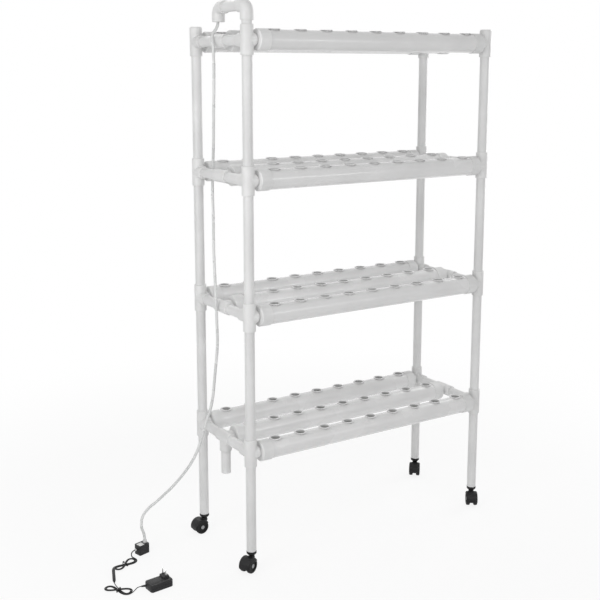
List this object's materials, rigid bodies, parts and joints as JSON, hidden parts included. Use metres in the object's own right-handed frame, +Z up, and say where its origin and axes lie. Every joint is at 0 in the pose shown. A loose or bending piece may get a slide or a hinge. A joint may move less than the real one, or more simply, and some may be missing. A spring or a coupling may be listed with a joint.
{
  "type": "hydroponic growing rack",
  "caption": "White PVC hydroponic rack on castors: four tiers of three planting pipes with net cups, a gooseneck feed, hose, small pump and plug-in adapter.",
  "frame": {"origin": "middle of the rack at floor level, centred between the four posts", "axes": "+X along the grow pipes away from the gooseneck, +Y from the gooseneck post to the back row, +Z up"},
  "size_m": [1.4183, 0.4125, 1.8],
  "materials": {
    "white_pvc": "satin",
    "white_cup_plastic": "satin",
    "milky_hose": "gloss",
    "zinc_steel": "satin",
    "black_wheel_plastic": "matte",
    "black_plastic": "satin",
    "pump_black_plastic": "satin",
    "impeller_plastic": "matte",
    "light_fitting_plastic": "satin",
    "black_cord_rubber": "matte",
    "adapter_black_plastic": "satin",
    "pin_steel": "polished"
  },
  "bodies": {
    "rack": {"adapter_case": "adapter_black_plastic", "adapter_cord_hank": "black_cord_rubber", "adapter_lead": "black_cord_rubber", "adapter_pins": "pin_steel", "adapter_strain_relief": "black_cord_rubber", "castor_inserts": "black_plastic", "corner_tees": "white_pvc", "cross_tubes": "white_pvc", "dc_coupling": "black_cord_rubber", "drain_tube": "white_pvc", "end_caps": "white_pvc", "gooseneck_elbows": "white_pvc", "gooseneck_tubes": "white_pvc", "grow_pipe_tier_1_back": "white_pvc", "grow_pipe_tier_1_front": "white_pvc", "grow_pipe_tier_1_middle": "white_pvc", "grow_pipe_tier_2_back": "white_pvc", "grow_pipe_tier_2_front": "white_pvc", "grow_pipe_tier_2_middle": "white_pvc", "grow_pipe_tier_3_back": "white_pvc", "grow_pipe_tier_3_front": "white_pvc", "grow_pipe_tier_3_middle": "white_pvc", "grow_pipe_tier_4_back": "white_pvc", "grow_pipe_tier_4_front": "white_pvc", "grow_pipe_tier_4_middle": "white_pvc", "hose": "milky_hose", "hose_bush": "white_pvc", "middle_tees": "white_pvc", "pipe_nipples": "white_pvc", "post_back_left": "white_pvc", "post_back_right": "white_pvc", "post_front_left": "white_pvc", "post_front_right": "white_pvc", "pump_cord": "black_cord_rubber", "pump_cord_hank": "black_cord_rubber", "pump_fittings": "light_fitting_plastic", "pump_housing": "pump_black_plastic", "pump_intake_cover": "pump_black_plastic", "top_plugs": "white_pvc"},
    "castor_swivel_front_left": {"castor_hood_front_left": "black_plastic", "castor_pins_front_left": "zinc_steel"},
    "castor_wheel_front_left_a": {"castor_wheel_front_left_a": "black_wheel_plastic"},
    "castor_wheel_front_left_b": {"castor_wheel_front_left_b": "black_wheel_plastic"},
    "castor_swivel_front_right": {"castor_hood_front_right": "black_plastic", "castor_pins_front_right": "zinc_steel"},
    "castor_wheel_front_right_a": {"castor_wheel_front_right_a": "black_wheel_plastic"},
    "castor_wheel_front_right_b": {"castor_wheel_front_right_b": "black_wheel_plastic"},
    "castor_swivel_back_left": {"castor_hood_back_left": "black_plastic", "castor_pins_back_left": "zinc_steel"},
    "castor_wheel_back_left_a": {"castor_wheel_back_left_a": "black_wheel_plastic"},
    "castor_wheel_back_left_b": {"castor_wheel_back_left_b": "black_wheel_plastic"},
    "castor_swivel_back_right": {"castor_hood_back_right": "black_plastic", "castor_pins_back_right": "zinc_steel"},
    "castor_wheel_back_right_a": {"castor_wheel_back_right_a": "black_wheel_plastic"},
    "castor_wheel_back_right_b": {"castor_wheel_back_right_b": "black_wheel_plastic"},
    "net_cups_tier_1": {"net_cups_tier_1": "white_cup_plastic"},
    "net_cups_tier_2": {"net_cups_tier_2": "white_cup_plastic"},
    "net_cups_tier_3": {"net_cups_tier_3": "white_cup_plastic"},
    "net_cups_tier_4": {"net_cups_tier_4": "white_cup_plastic"},
    "pump_impeller": {"pump_impeller": "impeller_plastic"}
  },
  "joints": [
    {"name": "castor_swivel_front_left", "type": "hinge", "parent": "rack", "child": "castor_swivel_front_left", "pos_m": [-0.472, -0.165, 0.05], "axis": [0, 0, 1], "continuous": true},
    {"name": "castor_spin_front_left_a", "type": "hinge", "parent": "castor_swivel_front_left", "child": "castor_wheel_front_left_a", "pos_m": [-0.48922, -0.17303, 0.024], "axis": [0.4226, -0.9063, 0], "continuous": true},
    {"name": "castor_spin_front_left_b", "type": "hinge", "parent": "castor_swivel_front_left", "child": "castor_wheel_front_left_b", "pos_m": [-0.48922, -0.17303, 0.024], "axis": [0.4226, -0.9063, 0], "continuous": true},
    {"name": "castor_swivel_front_right", "type": "hinge", "parent": "rack", "child": "castor_swivel_front_right", "pos_m": [0.472, -0.165, 0.05], "axis": [0, 0, 1], "continuous": true},
    {"name": "castor_spin_front_right_a", "type": "hinge", "parent": "castor_swivel_front_right", "child": "castor_wheel_front_right_a", "pos_m": [0.46083, -0.18037, 0.024], "axis": [0.809, -0.5878, 0], "continuous": true},
    {"name": "castor_spin_front_right_b", "type": "hinge", "parent": "castor_swivel_front_right", "child": "castor_wheel_front_right_b", "pos_m": [0.46083, -0.18037, 0.024], "axis": [0.809, -0.5878, 0], "continuous": true},
    {"name": "castor_swivel_back_left", "type": "hinge", "parent": "rack", "child": "castor_swivel_back_left", "pos_m": [-0.472, 0.165, 0.05], "axis": [0, 0, 1], "continuous": true},
    {"name": "castor_spin_back_left_a", "type": "hinge", "parent": "castor_swivel_back_left", "child": "castor_wheel_back_left_a", "pos_m": [-0.49093, 0.16334, 0.024], "axis": [0.0872, -0.9962, 0], "continuous": true},
    {"name": "castor_spin_back_left_b", "type": "hinge", "parent": "castor_swivel_back_left", "child": "castor_wheel_back_left_b", "pos_m": [-0.49093, 0.16334, 0.024], "axis": [0.0872, -0.9962, 0], "continuous": true},
    {"name": "castor_swivel_back_right", "type": "hinge", "parent": "rack", "child": "castor_swivel_back_right", "pos_m": [0.472, 0.165, 0.05], "axis": [0, 0, 1], "continuous": true},
    {"name": "castor_spin_back_right_a", "type": "hinge", "parent": "castor_swivel_back_right", "child": "castor_wheel_back_right_a", "pos_m": [0.45929, 0.15088, 0.024], "axis": [0.7431, -0.6691, 0], "continuous": true},
    {"name": "castor_spin_back_right_b", "type": "hinge", "parent": "castor_swivel_back_right", "child": "castor_wheel_back_right_b", "pos_m": [0.45929, 0.15088, 0.024], "axis": [0.7431, -0.6691, 0], "continuous": true},
    {"name": "net_cups_lift_tier_1", "type": "slide", "parent": "rack", "child": "net_cups_tier_1", "axis": [0, 0, 1], "range_m": [0, 0.07]},
    {"name": "net_cups_lift_tier_2", "type": "slide", "parent": "rack", "child": "net_cups_tier_2", "axis": [0, 0, 1], "range_m": [0, 0.07]},
    {"name": "net_cups_lift_tier_3", "type": "slide", "parent": "rack", "child": "net_cups_tier_3", "axis": [0, 0, 1], "range_m": [0, 0.07]},
    {"name": "net_cups_lift_tier_4", "type": "slide", "parent": "rack", "child": "net_cups_tier_4", "axis": [0, 0, 1], "range_m": [0, 0.07]},
    {"name": "impeller_spin", "type": "hinge", "parent": "rack", "child": "pump_impeller", "pos_m": [-0.71256, 0.1343, 0.0165], "axis": [0.9703, 0.2419, 0], "continuous": true}
  ]
}
